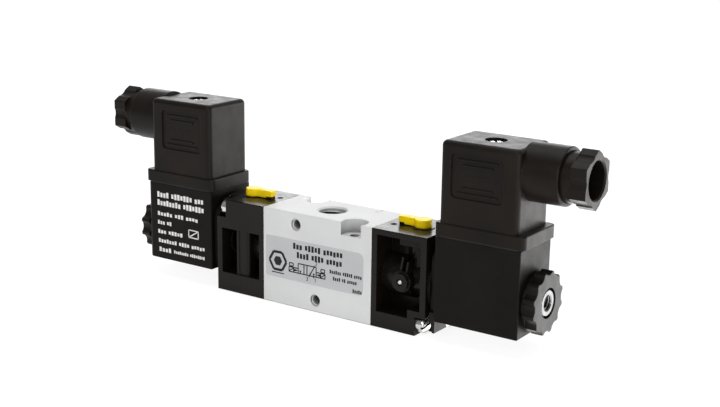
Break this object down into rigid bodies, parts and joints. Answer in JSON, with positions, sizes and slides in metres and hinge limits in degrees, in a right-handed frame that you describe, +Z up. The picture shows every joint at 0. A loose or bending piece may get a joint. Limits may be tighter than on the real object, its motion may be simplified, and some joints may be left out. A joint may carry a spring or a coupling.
{
  "type": "solenoid directional valve",
  "caption": "Pneumatic spool valve with a ported aluminium body between black pilot caps, each with a solenoid coil, plug-in cable connector and yellow override lever.",
  "frame": {"origin": "centre of the valve body's underside", "axes": "+X along the spool towards the right-hand coil, -Y out of the face with the name plate, +Z up through the working port"},
  "size_m": [0.1934, 0.022, 0.068],
  "materials": {
    "body_aluminium": "satin, fine brushed extrusion",
    "plate_foil": "satin grey foil with black print",
    "cap_plastic": "moulded, satin sides and glossy top",
    "bezel_plastic": "moulded",
    "lever_plastic": "moulded yellow",
    "coil_plastic": "fine moulded texture",
    "nut_plastic": "fine moulded texture",
    "connector_plastic": "fine moulded texture",
    "flange_plastic": "moulded",
    "block_plastic": "moulded",
    "washer_plastic": "moulded",
    "seal_rubber": "smooth",
    "gasket_rubber": "smooth",
    "screw_plated": "bright zinc plated",
    "tube_steel": "bright turned steel",
    "spring_steel": "oiled",
    "spool_aluminium": "hard anodised",
    "yoke_steel": "zinc plated",
    "contact_brass": "tin-flashed brass",
    "copper_wire": "enamelled copper wire"
  },
  "bodies": {
    "valve": {"valve_body": "body_aluminium", "name_plate": "plate_foil", "left_end_cap": "cap_plastic", "right_end_cap": "cap_plastic", "override_bezels": "bezel_plastic", "left_coil": "coil_plastic", "right_coil": "coil_plastic", "left_connector_housing": "connector_plastic", "right_connector_housing": "connector_plastic", "left_connector_collar": "connector_plastic", "right_connector_collar": "connector_plastic", "left_pilot_flange": "flange_plastic", "right_pilot_flange": "flange_plastic", "left_terminal_block": "block_plastic", "right_terminal_block": "block_plastic", "coil_bobbins": "block_plastic", "seal_spacers": "block_plastic", "gland_washers": "washer_plastic", "spool_seals": "seal_rubber", "cap_seals": "seal_rubber", "pilot_seals": "seal_rubber", "coil_rings": "seal_rubber", "gland_grommets": "seal_rubber", "left_connector_gasket": "gasket_rubber", "right_connector_gasket": "gasket_rubber", "cap_screws": "screw_plated", "connector_screws": "screw_plated", "passage_balls": "screw_plated", "pilot_screws": "screw_plated", "left_armature_tube": "tube_steel", "right_armature_tube": "tube_steel", "left_fixed_core": "tube_steel", "right_fixed_core": "tube_steel", "left_plunger_spring": "tube_steel", "right_plunger_spring": "tube_steel", "snap_rings": "spring_steel", "coil_yokes": "yoke_steel", "coil_contacts": "contact_brass", "coil_inserts": "contact_brass", "terminal_screws": "contact_brass", "coil_windings": "copper_wire"},
    "spool_assembly": {"spool": "spool_aluminium", "left_piston": "spool_aluminium", "right_piston": "spool_aluminium", "piston_seals": "seal_rubber"},
    "left_override": {"left_override_lever": "lever_plastic", "left_override_stem": "contact_brass", "left_override_seal": "seal_rubber"},
    "right_override": {"right_override_lever": "lever_plastic", "right_override_stem": "contact_brass", "right_override_seal": "seal_rubber"},
    "left_armature": {"left_plunger": "tube_steel", "left_plunger_seal": "seal_rubber"},
    "right_armature": {"right_plunger": "tube_steel", "right_plunger_seal": "seal_rubber"},
    "left_hand_nut": {"left_coil_nut": "nut_plastic"},
    "right_hand_nut": {"right_coil_nut": "nut_plastic"},
    "left_gland": {"left_gland_nut": "connector_plastic"},
    "right_gland": {"right_gland_nut": "connector_plastic"}
  },
  "joints": [
    {"name": "spool_slide", "type": "slide", "parent": "valve", "child": "spool_assembly", "axis": [1, 0, 0], "range_m": [0, 0.004]},
    {"name": "left_override_turn", "type": "hinge", "parent": "valve", "child": "left_override", "pos_m": [-0.036, 0, 0.0341], "axis": [0, 0, 1], "range_deg": [0, 90]},
    {"name": "left_plunger_slide", "type": "slide", "parent": "valve", "child": "left_armature", "axis": [-1, 0, 0], "range_m": [0, 0.0009], "stiffness_N_per_m": 200, "springref_m": -0.006, "deforming": ["left_plunger_spring"]},
    {"name": "right_override_turn", "type": "hinge", "parent": "valve", "child": "right_override", "pos_m": [0.036, 0, 0.0341], "axis": [0, 0, 1], "range_deg": [0, 90]},
    {"name": "right_plunger_slide", "type": "slide", "parent": "valve", "child": "right_armature", "axis": [1, 0, 0], "range_m": [0, 0.0009], "stiffness_N_per_m": 200, "springref_m": -0.006, "deforming": ["right_plunger_spring"]},
    {"name": "left_hand_nut_turn", "type": "hinge", "parent": "valve", "child": "left_hand_nut", "pos_m": [-0.08, 0, 0.01705], "axis": [-1, 0, 0], "continuous": true},
    {"name": "left_gland_turn", "type": "hinge", "parent": "valve", "child": "left_gland", "pos_m": [-0.09, 0, 0.0586], "axis": [-1, 0, 0], "continuous": true},
    {"name": "right_hand_nut_turn", "type": "hinge", "parent": "valve", "child": "right_hand_nut", "pos_m": [0.08, 0, 0.01705], "axis": [1, 0, 0], "continuous": true},
    {"name": "right_gland_turn", "type": "hinge", "parent": "valve", "child": "right_gland", "pos_m": [0.09, 0, 0.0586], "axis": [1, 0, 0], "continuous": true}
  ]
}
